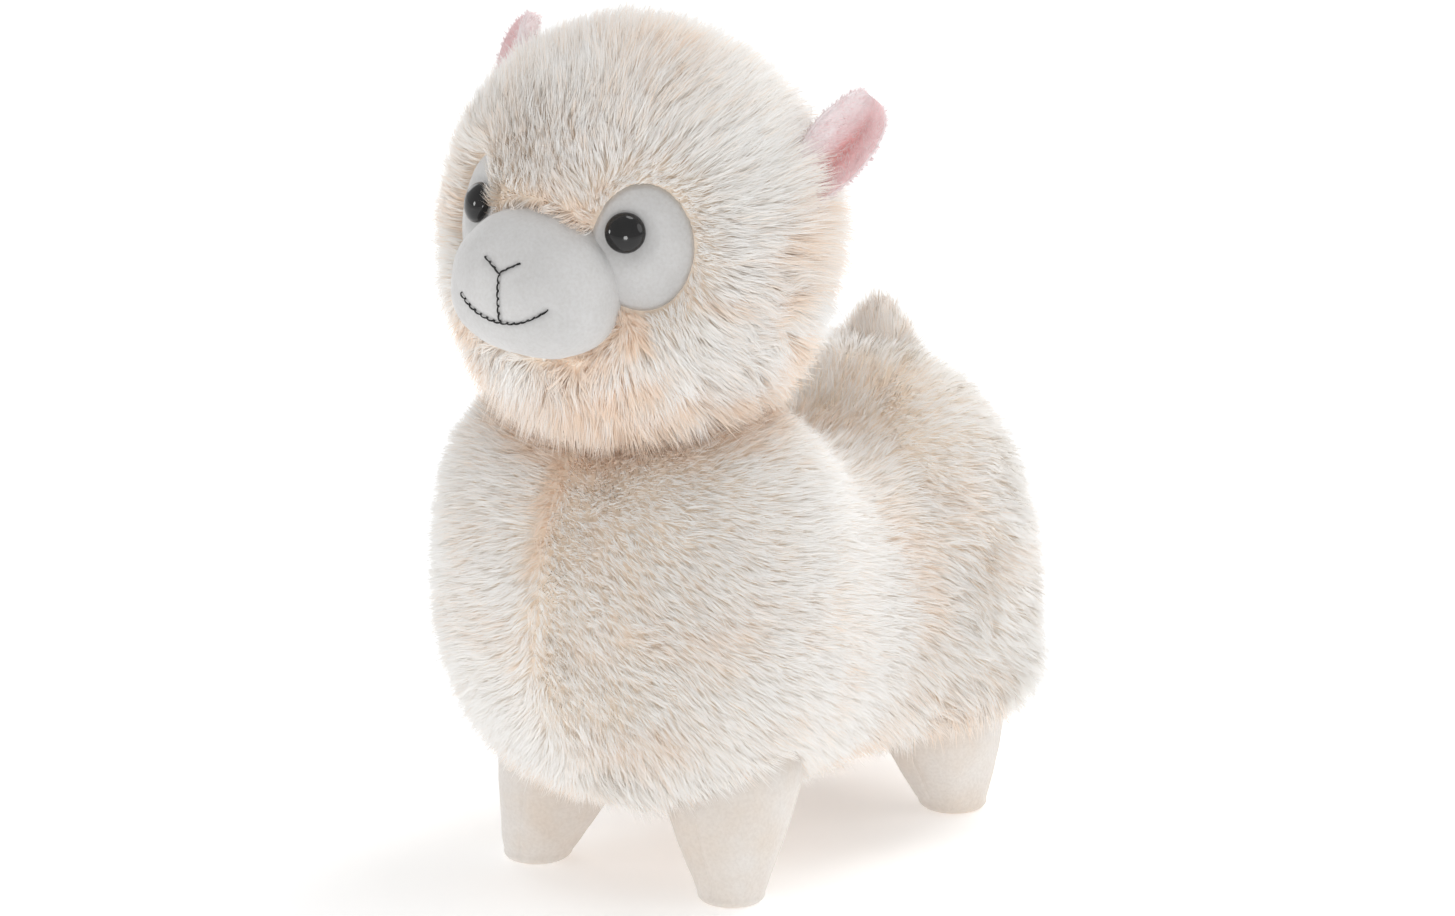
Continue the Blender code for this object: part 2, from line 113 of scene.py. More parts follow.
head_low, head_high = np.array(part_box("head"))
HEAD_MIDDLE = np.array([0.0, head_high[1] - HEAD_RADII[1], (head_low[2] + head_high[2]) / 2])
COVER_RADII = HEAD_RADII - HEAD_PILE
muzzle_low, muzzle_high = np.array(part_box("muzzle"))
MUZZLE_MIDDLE = (muzzle_low + muzzle_high) / 2
MUZZLE_RADII = (muzzle_high - muzzle_low) / 2
MUZZLE_RADII[0] = MUZZLE_HALF_WIDTH
SOLES = {mount["name"]: np.array(mount["pos_m"]) for mount in frame["record"]["mounts"]}
FRONT_FEET = SOLES["sole_front_left"] * BACK
tail_low, tail_high = np.array(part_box("tail"))


# Small vector helpers on rows of points

def unit(rows):
    return rows / np.maximum(np.linalg.norm(rows, axis=-1, keepdims=True), 1e-9)


def along_surface(rows, normals):
    """The part of each row that lies along the surface."""
    return rows - normals * np.sum(rows * normals, axis=-1, keepdims=True)


def smooth(value, start, end):
    share = np.clip((value - start) / (end - start), 0, 1)
    return share * share * (3 - 2 * share)


def turns(count):
    """Even angles all the way round."""
    return np.arange(count) * 2 * math.pi / count


def behind_feet(points):
    """How far points are behind the front feet."""
    return points[:, 1] - FRONT_FEET[1]


def field(points, size, seed):
    """A smooth random value from about -1 to 1, with bumps of about the given size."""
    rng = np.random.default_rng(seed)
    total = np.zeros(len(points))
    for _ in range(7):
        wave = rng.normal(size=3)
        wave *= 2 * math.pi / (size * rng.uniform(1.4, 2.6) * np.linalg.norm(wave))
        total += np.sin(points @ wave + rng.uniform(0, 2 * math.pi))
    return total / 3


def distance_to_line(points, line):
    """How far points are from a line of straight stretches."""
    best = np.full(len(points), 1.0)
    for a, b in zip(line, line[1:]):
        step = b - a
        share = np.clip((points - a) @ step / (step @ step), 0, 1)
        best = np.minimum(best, np.linalg.norm(points - a - share[:, None] * step, axis=1))
    return best


# Meshes

def add_object(name, data):
    made = bpy.data.objects.new(name, data)
    bpy.context.scene.collection.objects.link(made)
    return made


def mesh_object(name, points, faces, material, flat=None):
    """A piece from points and faces; flat gives each point its place on a map."""
    mesh = bpy.data.meshes.new(name)
    mesh.from_pydata(np.asarray(points).tolist(), [], faces)
    build = bmesh.new()
    build.from_mesh(mesh)
    bmesh.ops.recalc_face_normals(build, faces=build.faces)
    build.to_mesh(mesh)
    build.free()
    if flat is not None:
        corners = np.empty(len(mesh.loops), np.int32)
        mesh.loops.foreach_get("vertex_index", corners)
        layer = mesh.uv_layers.new(name="leaf")
        layer.uv.foreach_set("vector", np.asarray(flat)[corners].reshape(-1))
    mesh.materials.append(material)
    mesh.shade_smooth()
    return add_object(name, mesh)


def ring_quads(rows, columns):
    """Quads between rows of points that close on themselves."""
    quads = []
    for r in range(rows - 1):
        for c in range(columns):
            n = (c + 1) % columns
            quads.append((r * columns + c, r * columns + n, (r + 1) * columns + n, (r + 1) * columns + c))
    return quads


def closed_faces(rows, columns):
    """The quads, and a face over each end."""
    last = (rows - 1) * columns
    ends = [tuple(range(columns)), tuple(range(last, last + columns))]
    return ring_quads(rows, columns) + ends


def ball(rows, columns):
    """Points of a unit ball in rings round Z, as one list."""
    latitude = -math.pi / 2 + math.pi * (np.arange(rows) + 0.5) / rows
    lat, lon = np.meshgrid(latitude, turns(columns), indexing="ij")
    place = np.stack([np.cos(lat) * np.cos(lon), np.cos(lat) * np.sin(lon), np.sin(lat)], axis=-1)
    return place.reshape(-1, 3)


def point_normals(points, quads, inside):
    """Area-weighted normals at the points, which face away from the inside."""
    corners = np.array(quads)
    a, b, c, d = (points[corners[:, i]] for i in range(4))
    across = np.cross(c - a, d - b)
    normals = np.zeros_like(points)
    for i in range(4):
        np.add.at(normals, corners[:, i], across)
    normals = unit(normals)
    outward = np.sign(np.mean(np.sum(normals * (points - inside), axis=1)))
    return normals * outward


class Surface:
    """A closed skin that fibres are planted on."""

    def __init__(self, points, rows, columns, inside):
        self.points = points
        self.faces = closed_faces(rows, columns)
        quads = ring_quads(rows, columns)
        self.normals = point_normals(points, quads, inside)
        corners = np.array(quads)
        self.triangles = np.concatenate([corners[:, [0, 1, 2]], corners[:, [0, 2, 3]]])
        a, b, c = (points[self.triangles[:, i]] for i in range(3))
        self.areas = np.linalg.norm(np.cross(b - a, c - a), axis=1) / 2

    def plant(self, count, rng, keep):
        """Random points with their normals, even over the area that keep allows."""
        roots, normals, found = [], [], 0
        chance = self.areas / self.areas.sum()
        while found < count:
            chosen = self.triangles[rng.choice(len(self.triangles), count, p=chance)]
            u, v = rng.random((2, count, 1))
            swap = u + v > 1
            u, v = np.where(swap, 1 - u, u), np.where(swap, 1 - v, v)
            share = [1 - u - v, u, v]
            place = sum(self.points[chosen[:, i]] * share[i] for i in range(3))
            facing = unit(sum(self.normals[chosen[:, i]] * share[i] for i in range(3)))
            kept = keep(place, facing)
            roots.append(place[kept])
            normals.append(facing[kept])
            found += int(kept.sum())
        return np.concatenate(roots)[:count], np.concatenate(normals)[:count]


# Torso skin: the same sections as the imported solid, drawn in by the pile's depth

CHEST_AT = 0.008
WAIST_AT = 0.066
RUMP_AT = 0.110
CHEST_FRONT = 0.056
RUMP_REAR = 0.166
# Half width, widest height, bottom, top, and how square the section is above and below
CHEST = np.array([0.066, 0.095, 0.0245, 0.162, 3.0, 2.4])
WAIST = np.array([0.054, 0.073, 0.0245, 0.127, 2.85, 2.7])
RUMP = np.array([0.0615, 0.049, 0.0245, 0.144, 2.7, 3.0])


def torso_section(y):
    def blend(first, second, start, end):
        return first + (second - first) * smooth(y, start, end)
    if y <= WAIST_AT:
        return blend(CHEST, WAIST, CHEST_AT, WAIST_AT)
    return blend(WAIST, RUMP, WAIST_AT, RUMP_AT)


def torso_ring(y, shrink, columns):
    half, widest, bottom, top, above, below = torso_section(y)
    across, up = np.sin(turns(columns)), -np.cos(turns(columns))
    curve = np.where(up > 0, above, below)
    reach = np.where(up > 0, top - widest, widest - bottom)
    size = (np.abs(across) ** curve + np.abs(up) ** curve) ** (-1 / curve)
    ring = np.zeros((columns, 3))
    ring[:, 0] = half * across * size * shrink
    ring[:, 1] = FRONT_FEET[1] + y
    ring[:, 2] = widest + reach * up * size * shrink
    return ring


def torso_surface():
    columns, end_rows, middle_rows = 80, 20, 34
    rings = []
    # The ends start from rings so small that no bare spot shows
    end_turns = [0.06, 0.5] + list(range(1, end_rows))
    for row in end_turns:
        angle = math.pi / 2 * row / end_rows
        y = CHEST_AT - (CHEST_AT + CHEST_FRONT) * math.cos(angle)
        rings.append(torso_ring(y, math.sin(angle), columns))
    for row in range(middle_rows + 1):
        rings.append(torso_ring(CHEST_AT + (RUMP_AT - CHEST_AT) * row / middle_rows, 1, columns))
    for row in reversed(end_turns):
        angle = math.pi / 2 * row / end_rows
        y = RUMP_AT + (RUMP_REAR - RUMP_AT) * math.cos(angle)
        rings.append(torso_ring(y, math.sin(angle), columns))
    points = np.concatenate(rings)
    inside = np.array([0.0, FRONT_FEET[1] + WAIST_AT, WAIST[1]])
    normals = point_normals(points, ring_quads(len(rings), columns), inside)
    return Surface(points - normals * FUR_DEPTH, len(rings), columns, inside)


def head_surface():
    """The head's backing, which dips under the eye patches and round the muzzle."""
    rows, columns = 72, 104
    way = ball(rows, columns)
    raised = HEAD_MIDDLE + way * (HEAD_RADII - FUR_DEPTH)
    sunk = HEAD_MIDDLE + way * (COVER_RADII - 0.0030)
    patch = smooth(nearest_patch(raised), 0.90, 1.16)
    muzzle = smooth(muzzle_share(raised), 0.92, 1.14)
    points = sunk + (raised - sunk) * np.minimum(patch, muzzle)[:, None]
    return Surface(points, rows, columns, HEAD_MIDDLE)


def tail_surface():
    """A cone with a round foot, which the tail's fibres draw out into a flame."""
    rows, columns = 16, 20
    middle = (tail_low + tail_high) / 2
    way = ball(rows, columns)
    way[:, :2] *= 1 - 0.6 * smooth(way[:, 2:], -0.3, 1.0)
    radii = (tail_high - tail_low) / 2 * [0.75, 0.65, 0.75]
    return Surface(middle + way * radii, rows, columns, middle)


# Places on the head

def cover_point(direction, lift=0.0):
    """Points on the head cover in these directions, lifted away from the head's middle."""
    way = unit(np.asarray(direction, float))
    reach = 1 / np.linalg.norm(way / COVER_RADII, axis=-1, keepdims=True)
    return HEAD_MIDDLE + way * (reach + np.asarray(lift)[..., None])


def face_direction(across, up):
    depth = math.sqrt(1 - (across / COVER_RADII[0]) ** 2 - (up / COVER_RADII[2]) ** 2)
    return np.array([across, -COVER_RADII[1] * depth, up])


def eye_direction(side):
    return face_direction(side * (PATCH_ACROSS - EYE_INWARD), PATCH_UP + EYE_ABOVE)


def patch_axes(side):
    centre = face_direction(side * PATCH_ACROSS, PATCH_UP)
    across = unit(np.cross(UP, centre))
    return centre, across, unit(np.cross(centre, across))


def patch_place(points, side):
    """How far points are from an eye patch's middle, as a share of its oval."""
    centre, across, up = patch_axes(side)
    arm = unit(points - HEAD_MIDDLE) * np.linalg.norm(centre)
    ahead = arm @ unit(centre) > 0
    share = np.hypot((arm @ across) / PATCH_HALF_WIDTH, (arm @ up) / PATCH_HALF_HEIGHT)
    return np.where(ahead, share, 9.0)


def nearest_patch(points):
    return np.minimum(patch_place(points, 1), patch_place(points, -1))


def muzzle_share(points):
    """Below 1 inside the muzzle, and growing away from it."""
    place = (points - MUZZLE_MIDDLE) / MUZZLE_RADII
    place[:, 0] /= 1 - MUZZLE_TAPER * np.clip(place[:, 2], -1, 1)
    return np.sum(np.abs(place) ** MUZZLE_CURVE, axis=1) ** (1 / MUZZLE_CURVE)


def head_share(points):
    """How far points are from the head's middle, as a share of its outer pile."""
    return np.linalg.norm((points - HEAD_MIDDLE) / HEAD_RADII, axis=1)


def ear_root(side):
    return cover_point(EAR_DIRECTION * [side, 1, 1], -0.001)


def ear_distance(points):
    return np.min([np.linalg.norm(points - ear_root(side), axis=1) for side in SIDES.values()], axis=0)


# Where fibres grow, and how long they are

def grows_on_head(points, normals):
    on_face = (nearest_patch(points) < 0.97) | (muzzle_share(points) < 0.97)
    bare = on_face | (ear_distance(points) < 0.0045)
    return ~bare & (normals[:, 2] > -0.92)


def head_length(points):
    rim = 0.60 + 0.40 * smooth(nearest_patch(points), 1.0, 1.5)
    lip = 0.55 + 0.45 * smooth(muzzle_share(points), 1.0, 1.4)
    bridge = np.linalg.norm(points - MUZZLE_MIDDLE - [0.0, 0.010, 0.028], axis=1)
    bridge = 0.55 + 0.45 * smooth(bridge, 0.010, 0.028)
    ear = 0.35 * (1 - smooth(ear_distance(points), 0.012, 0.022))
    collar = 0.30 * (1 - smooth(points[:, 2] - HEAD_MIDDLE[2], -0.050, -0.025))
    return np.minimum(np.minimum(rim, lip), bridge) + ear + collar


def head_lie(points):
    """How much flatter the pile lies round the eye patches and the muzzle."""
    patch = smooth(nearest_patch(points), 1.0, 1.15) - smooth(nearest_patch(points), 1.4, 2.4)
    muzzle = smooth(muzzle_share(points), 1.0, 1.1) - smooth(muzzle_share(points), 1.2, 1.7)
    return 0.34 * np.maximum(patch, muzzle)


def torso_lie(points):
    """How much flatter the pile lies beside the parting on the chest."""
    front = 1 - smooth(behind_feet(points), -0.02, 0.02)
    return 0.25 * np.exp(-(points[:, 0] / 0.020) ** 2) * front


def grows_on_torso(points, normals):
    in_head = np.linalg.norm((points - HEAD_MIDDLE) / (HEAD_RADII * 0.95), axis=1) < 1
    in_leg = np.zeros(len(points), bool)
    for name, sole in SOLES.items():
        lean = LEANS[name.split("_")[1]]
        side = np.sign(sole[0])
        middle = sole[:2] + [-side * lean[0], lean[1]]
        near = np.linalg.norm(points[:, :2] - middle, axis=1) < LEG_RADIUS * 0.86
        in_leg |= near & (points[:, 2] < LEG_TOP_Z)
    return ~in_head & ~in_leg


def torso_length(points):
    """Longer over the legs and at the waist, and shorter under the head."""
    fringe = 1 - smooth(np.abs(points[:, 2] - 0.036), 0.006, 0.018)
    collar = smooth(head_share(points), 1.0, 1.35)
    waist = 0.15 * np.exp(-((behind_feet(points) - 0.060) / 0.014) ** 2)
    return (0.75 + 0.25 * collar) * (1 + 0.25 * fringe + waist)


# Rules that say the same of every point

def none(points):
    return np.zeros(len(points))


def full(points):
    return np.ones(len(points))


# The way the pile is combed

def cheeks(points):
    """1 on the chin and the lower cheeks, where the pile is woolly, and 0 above them."""
    return 1 - smooth(points[:, 2] - MUZZLE_MIDDLE[2], -0.020, 0.020)


def head_comb(points, normals):
    """Away from the face, round the eye patches, down at the back, and every way on the cheeks."""
    away = unit(along_surface(np.array([0.0, 1.0, 0.05]) + np.zeros_like(points), normals))
    down = along_surface(-UP + np.zeros_like(points), normals)
    behind = smooth(normals[:, 1], -0.1, 0.8)[:, None]
    below = smooth(-normals[:, 2], 0.1, 0.7)[:, None]
    comb = away + down * (0.10 + 1.1 * behind + 0.5 * below)
    for side in SIDES.values():
        centre = cover_point(patch_axes(side)[0])
        share = patch_place(points, side)[:, None]
        rays = unit(along_surface(points - centre, normals))
        comb += rays * 1.6 * (1 - smooth(share, 1.0, 2.1))
    wool = np.stack([field(points, 0.006, seed) for seed in (71, 72, 73)], axis=1)
    comb += wool * 0.8 * cheeks(points)[:, None]
    return unit(along_surface(comb, normals))


def torso_comb(points, normals):
    """Parted down the chest, back along the flanks, and down over the rump."""
    out = np.tanh(points[:, :1] / 0.006) * np.array([1.0, 0.0, 0.0])
    front = smooth(-normals[:, 1], 0.05, 0.85)[:, None]
    rump = smooth(behind_feet(points), 0.070, 0.100)[:, None]
    top = smooth(normals[:, 2], 0.3, 0.9)[:, None]
    low = 1 - smooth(points[:, 2:], 0.045, 0.085)
    down = 0.12 + 0.20 * front + 0.6 * low
    chest = out * (0.25 + 0.75 * front) - UP * down + BACK * (1 - front)
    rear = out * 0.35 * top - UP * 0.85 + BACK * (0.25 + 0.5 * top)
    comb = chest * (1 - rump) + rear * rump
    return unit(along_surface(comb, normals))


def tail_comb(points, normals):
    return unit(along_surface(UP + 0.25 * BACK + np.zeros_like(points), normals))


# Painted warm shade in the pile's folds and hollows
def crease_shade(points):
    """1 in the folds, down the chest's parting and under the belly, where warm shade is painted into the
    pile, and 0 on open cloth.
    """
    y = behind_feet(points)
    neck = (1 - smooth(head_share(points), 1.05, 1.30)) * (1 - smooth(y, 0.0, 0.05))
    waist = np.exp(-((y - 0.074) / 0.010) ** 2) * 0.25
    parting = np.exp(-(points[:, 0] / 0.0028) ** 2)
    parting *= smooth(-y, -0.010, 0.020) * smooth(points[:, 2], 0.08, 0.12)
    under = 0.7 * (1 - smooth(points[:, 2], 0.030, 0.048))
    return np.clip(np.maximum.reduce([neck, waist, parting, under]), 0, 1)


def chin(points):
    """Warm under the muzzle and round the face's edge as painted shade, patchy on the cheeks as tone that
    differs at random, and less elsewhere.
    """
    under = 1 - smooth(points[:, 2] - MUZZLE_MIDDLE[2], -0.045, -0.020)
    near = 1 - smooth(muzzle_share(points), 1.05, 1.35)
    patchy = smooth(field(points, 0.009, 21), 0.1, 0.9)
    return np.clip(0.25 + 0.6 * under + 0.4 * near + 0.8 * cheeks(points) * patchy, 0, 1)


def tail_foot_shade(points):
    """Warm at the tail's foot as painted shade where it meets the rump, and 0 at its tip."""
    return 0.5 - 0.5 * smooth(points[:, 2], tail_low[2] + TAIL_FOOT, tail_high[2] - TAIL_FOOT)


# Fibres

STATIONS = np.array([0.0, 0.48, 1.0])
RIBBON_WIDTHS = np.array([0.9, 1.0])
# How far ribbons are rolled about their own length
RIBBON_ROLL = 0.35
# Half the width of a ribbon's strip on the colour map
MAP_STRIP = 0.0035
# How much of a fibre's shading follows the skin under it, against 1 for its own side
SKIN_SHARE = 1.6
# How much longer or shorter than its rule a lock may be
LENGTH_SPREAD = 0.20


def fibre_paths(roots, normals, comb, length, lean, start):
    """Paths that leave the skin at the start angle and bend over along the comb direction."""
    span = (lean - start)[:, None]
    angle = start + span * STATIONS
    rise = (np.sin(angle) - np.sin(start)) / span
    run = (np.cos(start) - np.cos(angle)) / span
    size = length[:, None, None]
    return roots[:, None] + size * (rise[..., None] * normals[:, None] + run[..., None] * comb[:, None])


def turn_about(vectors, axes, angles):
    """Vectors that are square to their axes, turned about them."""
    return vectors * np.cos(angles)[:, None] + np.cross(axes, vectors) * np.sin(angles)[:, None]


def nearest(points, centres):
    tree = KDTree(len(centres))
    for i, centre in enumerate(centres):
        tree.insert(centre, i)
    tree.balance()
    return np.array([tree.find(p)[1] for p in points])


def plant_locks(rules, count, rng, seed, style):
    """Where locks stand, and how they lie: their roots, normals, comb, length and lean."""
    roots, normals = rules["surface"].plant(count, rng, rules["keep"])
    comb = rules["comb"](roots, normals)
    swirl = field(roots, style["swirl_size"], seed) * style["swirl"]
    comb = turn_about(comb, normals, swirl + rng.normal(0, style["lock_turn"], count))
    spread = rng.uniform(1 - LENGTH_SPREAD, 1 + LENGTH_SPREAD, count)
    length = style["length"] * rules["length"](roots) * spread
    lean = style["lean"] + rules["lie"](roots) + rng.normal(0, 0.10, count)
    lean += style["lean_swirl"] * field(roots, 0.010, seed + 2)
    return roots, normals, comb, length, np.clip(lean, style["lean_from"] + 0.1, 1.5)


def gather(paths, leaders, pull):
    """Draws paths towards their leaders, most at the tips."""
    share = pull[:, None] * STATIONS ** 1.4
    return paths + (leaders - paths) * share[..., None]


def grow_fur(name, rules, count, seed, material, style):
    """One piece of pile: fibres gathered in locks, and locks in tufts, as narrow ribbons."""
    rng = np.random.default_rng(seed)
    start = style["lean_from"]
    tufts = plant_locks(rules, int(count / style["fibres_per_tuft"]), rng, seed, style)
    tuft_roots, _, tuft_comb, _, _ = tufts
    lock_count = int(count / style["fibres_per_lock"])
    lock_roots, lock_normals, lock_comb, lock_length, lock_lean = plant_locks(
        rules, lock_count, rng, seed, style)
    tuft = nearest(lock_roots, tuft_roots)
    lock_comb = unit(along_surface(lock_comb + tuft_comb[tuft] * style["tuft_comb"], lock_normals))
    lock_paths = fibre_paths(lock_roots, lock_normals, lock_comb, lock_length, lock_lean, start)
    pull = style["tuft_gather"] * rng.uniform(0.5, 1.0, lock_count)
    lock_paths = gather(lock_paths, fibre_paths(*tufts, start)[tuft], pull)

    roots, normals = rules["surface"].plant(count, rng, rules["keep"])
    lock = nearest(roots, lock_roots)
    comb = unit(along_surface(lock_comb[lock], normals))
    comb = turn_about(comb, normals, rng.normal(0, style["fibre_turn"], count))
    stray = rng.random(count) < style["strays"]
    length = lock_length[lock] * rng.uniform(0.70, 1.08, count) * np.where(stray, 1.16, 1.0)
    lean = lock_lean[lock] + rng.normal(0, 0.10, count) - 0.20 * stray
    paths = fibre_paths(roots, normals, comb, length, lean, start)
    pull = style["gather"] * rng.uniform(0.6, 1.0, count) * np.where(stray, 0.25, 1.0)
    paths = gather(paths, lock_paths[lock], pull)
    paths[..., 2] -= style["droop"] * length[:, None] * STATIONS ** 2

    width = style["width"] * rng.uniform(0.7, 1.25, count)
    aside = along_surface(roots - lock_roots[lock], normals) / style["lock_size"]
    aside *= 1 / np.maximum(np.linalg.norm(aside, axis=1, keepdims=True), 1)
    shading = unit(normals + style["lock_round"] * aside)
    tint = 0.62 + 0.10 * rng.normal(size=lock_count)[lock] + 0.10 * rng.normal(size=count)
    # Random tone, plus each piece's warm rule: painted warm shade in folds and under parts, or the ear
    # lining's own pink
    tint += 0.14 * field(roots, 0.020, seed + 5) - 0.50 * rules["warmth"](roots)
    return ribbons(name, paths, shading, width, np.clip(tint, 0.02, 0.98), rng, material)


def weave(left, right, tip):
    """The values of ribbons' points: by turns on the left and the right side, and then at the tip."""
    count, pairs = left.shape[:2]
    woven = np.empty((count, 2 * pairs + 1) + left.shape[2:])
    woven[:, 0:-1:2] = left
    woven[:, 1:-1:2] = right
    woven[:, -1] = tip
    return woven


def ribbon_faces(count):
    """Triangles of ribbons whose points come in pairs and end with a tip."""
    pairs = len(STATIONS) - 1
    corners = []
    for s in range(pairs - 1):
        corners += [[2 * s, 2 * s + 1, 2 * s + 3], [2 * s, 2 * s + 3, 2 * s + 2]]
    corners.append([2 * pairs - 2, 2 * pairs - 1, 2 * pairs])
    first = np.arange(count) * (2 * pairs + 1)
    return (first[:, None, None] + np.array(corners)[None]).reshape(-1, 3)


def ribbon_map(tint):
    """Each ribbon's place on the colour map: its tint across, and from root to tip up."""
    tints = np.repeat(tint[:, None], len(STATIONS) - 1, axis=1)
    heights = np.tile(STATIONS[:-1], (len(tint), 1))
    u = weave(tints - MAP_STRIP, tints + MAP_STRIP, tint)
    v = weave(heights, heights, 1.0)
    return np.stack([0.004 + 0.992 * u, 0.004 + 0.992 * v], axis=-1).reshape(-1, 2)


def ribbons(name, paths, normals, width, tint, rng, material):
    """Narrow ribbons along the paths, each tapering to a point."""
    count = len(paths)
    ahead = np.empty_like(paths)
    ahead[:, 1:-1] = paths[:, 2:] - paths[:, :-2]
    ahead[:, 0] = paths[:, 1] - paths[:, 0]
    ahead[:, -1] = paths[:, -1] - paths[:, -2]
    ahead = unit(ahead)
    roll = rng.normal(0, RIBBON_ROLL, count)[:, None, None]
    across = unit(np.cross(ahead, normals[:, None] + np.zeros_like(ahead)))
    facing = np.cross(across, ahead)
    across = across * np.cos(roll) + facing * np.sin(roll)
    facing = np.cross(across, ahead)
    reach = across[:, :-1] * ((width / 2)[:, None, None] * RIBBON_WIDTHS[None, :, None])
    points = weave(paths[:, :-1] - reach, paths[:, :-1] + reach, paths[:, -1])
    soft = unit(normals[:, None] * SKIN_SHARE + facing)
    shade = weave(soft[:, :-1], soft[:, :-1], soft[:, -1])
    return ribbon_object(name, points, shade, ribbon_map(tint), material)


def ribbon_object(name, points, shade, flat, material):
    faces = ribbon_faces(len(points))
    mesh = bpy.data.meshes.new(name)
    mesh.vertices.add(points.size // 3)
    mesh.vertices.foreach_set("co", points.reshape(-1))
    mesh.loops.add(faces.size)
    mesh.loops.foreach_set("vertex_index", faces.reshape(-1).astype(np.int32))
    mesh.polygons.add(len(faces))
    mesh.polygons.foreach_set("loop_start", np.arange(0, faces.size, 3, dtype=np.int32))
    mesh.update(calc_edges=True)
    layer = mesh.uv_layers.new(name="OFBake")
    layer.uv.foreach_set("vector", flat[faces.reshape(-1)].reshape(-1))
    layer.active_render = True
    mesh.materials.append(material)
    mesh.shade_smooth()
    mesh.normals_split_custom_set_from_vertices(shade.reshape(-1, 3).tolist())
    return add_object(name, mesh)


# Materials

def new_material(name, roughness, sheen=0.0):
    material = bpy.data.materials.new(name)
    material.use_nodes = True
    shader = material.node_tree.nodes["Principled BSDF"]
    shader.inputs["Roughness"].default_value = roughness
    shader.inputs["Sheen Weight"].default_value = sheen
    return material, material.node_tree, shader


def ramp(tree, source, stops):
    node = tree.nodes.new("ShaderNodeValToRGB")
    elements = node.color_ramp.elements
    while len(elements) < len(stops):
        elements.new(0.5)
    for element, (place, colour) in zip(elements, stops):
        element.position = place
        element.color = (*colour, 1.0)
    tree.links.new(source, node.inputs["Fac"])
    return node.outputs["Color"]


def plain_colour(tree, colour):
    node = tree.nodes.new("ShaderNodeRGB")
    node.outputs[0].default_value = (*colour, 1.0)
    return node.outputs[0]


def blend_colours(tree, kind, factor, first, second):
    node = tree.nodes.new("ShaderNodeMix")
    node.data_type = "RGBA"
    node.blend_type = kind
    if isinstance(factor, float):
        node.inputs["Factor"].default_value = factor
    else:
        tree.links.new(factor, node.inputs["Factor"])
    tree.links.new(first, node.inputs["A"])
    tree.links.new(second, node.inputs["B"])
    return node.outputs["Result"]


def map_parts(tree, layer):
    place = tree.nodes.new("ShaderNodeUVMap")
    place.uv_map = layer
    parts = tree.nodes.new("ShaderNodeSeparateXYZ")
    tree.links.new(place.outputs["UV"], parts.inputs["Vector"])
    return parts.outputs["X"], parts.outputs["Y"]


def noise(tree, scale, detail):
    place = tree.nodes.new("ShaderNodeTexCoord")
    node = tree.nodes.new("ShaderNodeTexNoise")
    node.inputs["Scale"].default_value = scale
    node.inputs["Detail"].default_value = detail
    tree.links.new(place.outputs["Object"], node.inputs["Vector"])
    return node.outputs["Fac"]


def fur_material(name, root, middle, tip, warm, pale):
    """Colour runs from root to tip along the map's height, darker and warmer at the root as painted shade
    deep in the pile, and from warm to pale along its width, which carries random tone, painted warm shade in
    folds and the ear lining's own pink.
    """
    material, tree, shader = new_material(name, 0.6)
    shader.inputs["Specular IOR Level"].default_value = 0.25
    tint, along = map_parts(tree, "OFBake")
    length = ramp(tree, along, [(0.0, root), (0.45, middle), (1.0, tip)])
    hue = ramp(tree, tint, [(0.0, warm), (0.55, WHITE), (1.0, pale)])
    tree.links.new(blend_colours(tree, "MULTIPLY", 1.0, length, hue), shader.inputs["Base Color"])
    return material


def velour_material(name, colour, deep, grain=0.00035, sheen=0.35, shape=None):
    """Short dense pile: mottled colour, fine grain as bump, and a soft sheen."""
    material, tree, shader = new_material(name, 0.9, sheen)
    mottled = ramp(tree, noise(tree, 55.0, 5.0), [(0.30, deep), (0.62, colour)])
    if shape:
        mottled = shape(tree, mottled)
    fine = noise(tree, 1 / (grain * 3), 3.0)
    speck = ramp(tree, fine, [(0.25, (0.92, 0.91, 0.90)), (0.65, WHITE)])
    tree.links.new(blend_colours(tree, "MULTIPLY", 1.0, mottled, speck), shader.inputs["Base Color"])
    bump = tree.nodes.new("ShaderNodeBump")
    bump.inputs["Strength"].default_value = 0.4
    bump.inputs["Distance"].default_value = grain
    tree.links.new(fine, bump.inputs["Height"])
    tree.links.new(bump.outputs["Normal"], shader.inputs["Normal"])
    return material


def lining_shape(tree, colour):
    """Deeper pink along the ear's valley and towards its root, paler on the upper flap."""
    across, along = map_parts(tree, "leaf")
    slant = tree.nodes.new("ShaderNodeMath")
    slant.operation = "MULTIPLY_ADD"
    tree.links.new(along, slant.inputs[0])
    slant.inputs[1].default_value = -0.22
    tree.links.new(across, slant.inputs[2])
    valley = slant.outputs["Value"]
    upper = ramp(tree, valley, [(0.10, WHITE), (0.46, BLACK)])
    colour = blend_colours(tree, "MIX", upper, colour, plain_colour(tree, EAR_PALE))
    fold = ramp(tree, valley, [(0.38, BLACK), (0.50, WHITE), (0.58, GREY), (0.80, BLACK)])
    reach = ramp(tree, along, [(0.45, WHITE), (0.95, BLACK)])
    depth = blend_colours(tree, "MULTIPLY", 1.0, fold, reach)
    return blend_colours(tree, "MIX", depth, colour, plain_colour(tree, EAR_DEEP))


def plastic_material(name, dark, light, roughness, scale):
    """Moulded plastic: slightly uneven colour and gloss."""
    material, tree, shader = new_material(name, roughness)
    cloud = noise(tree, scale, 2.0)
    tree.links.new(ramp(tree, cloud, [(0.3, dark), (0.7, light)]), shader.inputs["Base Color"])
    gloss = ramp(tree, cloud, [(0.3, (roughness * 0.7,) * 3), (0.7, (roughness * 1.4,) * 3)])
    tree.links.new(gloss, shader.inputs["Roughness"])
    return material


